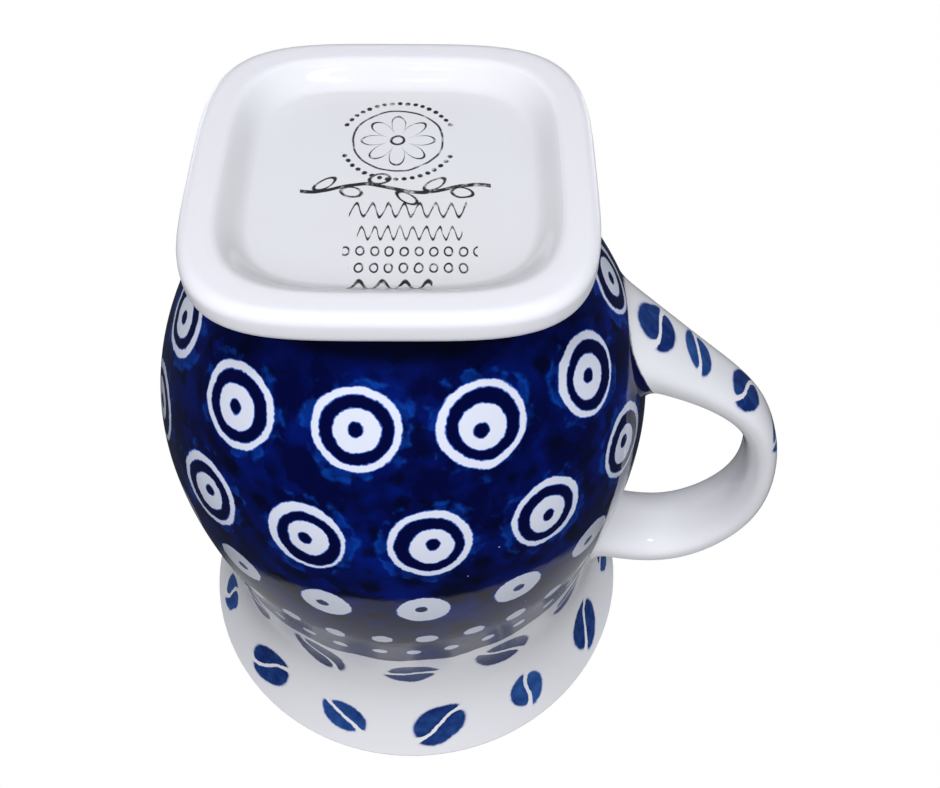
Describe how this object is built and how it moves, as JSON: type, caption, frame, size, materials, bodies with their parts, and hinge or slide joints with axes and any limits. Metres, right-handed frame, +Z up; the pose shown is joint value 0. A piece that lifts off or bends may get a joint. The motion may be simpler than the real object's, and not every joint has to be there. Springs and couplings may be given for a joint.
{
  "type": "stoneware mug",
  "caption": "Round-bellied glazed stoneware mug with a flared collar, a square foot and a side strap handle, for hot drinks.",
  "frame": {"origin": "centre of the base of the bounding box, on the plane that the foot stands on; the cup's own axis is 12.8 mm to -X of it, because the handle reaches out on +X", "axes": "+Z up along the cup's axis from foot to mouth, +X towards the handle, so the handle lies in the plane y = 0"},
  "size_m": [0.1084, 0.0828, 0.111],
  "materials": {
    "foot_clay": "white stoneware foot, glazed in the recess and bare, wiped clay on the ring that it stands on",
    "cobalt_glaze": "clear gloss glaze over brushed cobalt with stamped white eyes outside, plain white inside",
    "white_glaze": "clear gloss glaze over white clay with stamped blue beans outside",
    "handle_glaze": "clear gloss glaze over white clay with stamped blue beans on the outer face",
    "clay_slip": "fired joining slip, matt, inside the joints"
  },
  "bodies": {
    "root": {"foot_slab": "foot_clay", "foot_slip_joint": "clay_slip", "belly_shell": "cobalt_glaze", "neck_slip_joint": "clay_slip", "collar": "white_glaze", "handle": "handle_glaze", "lower_handle_slip": "clay_slip", "upper_handle_slip": "clay_slip"}
  },
  "joints": []
}
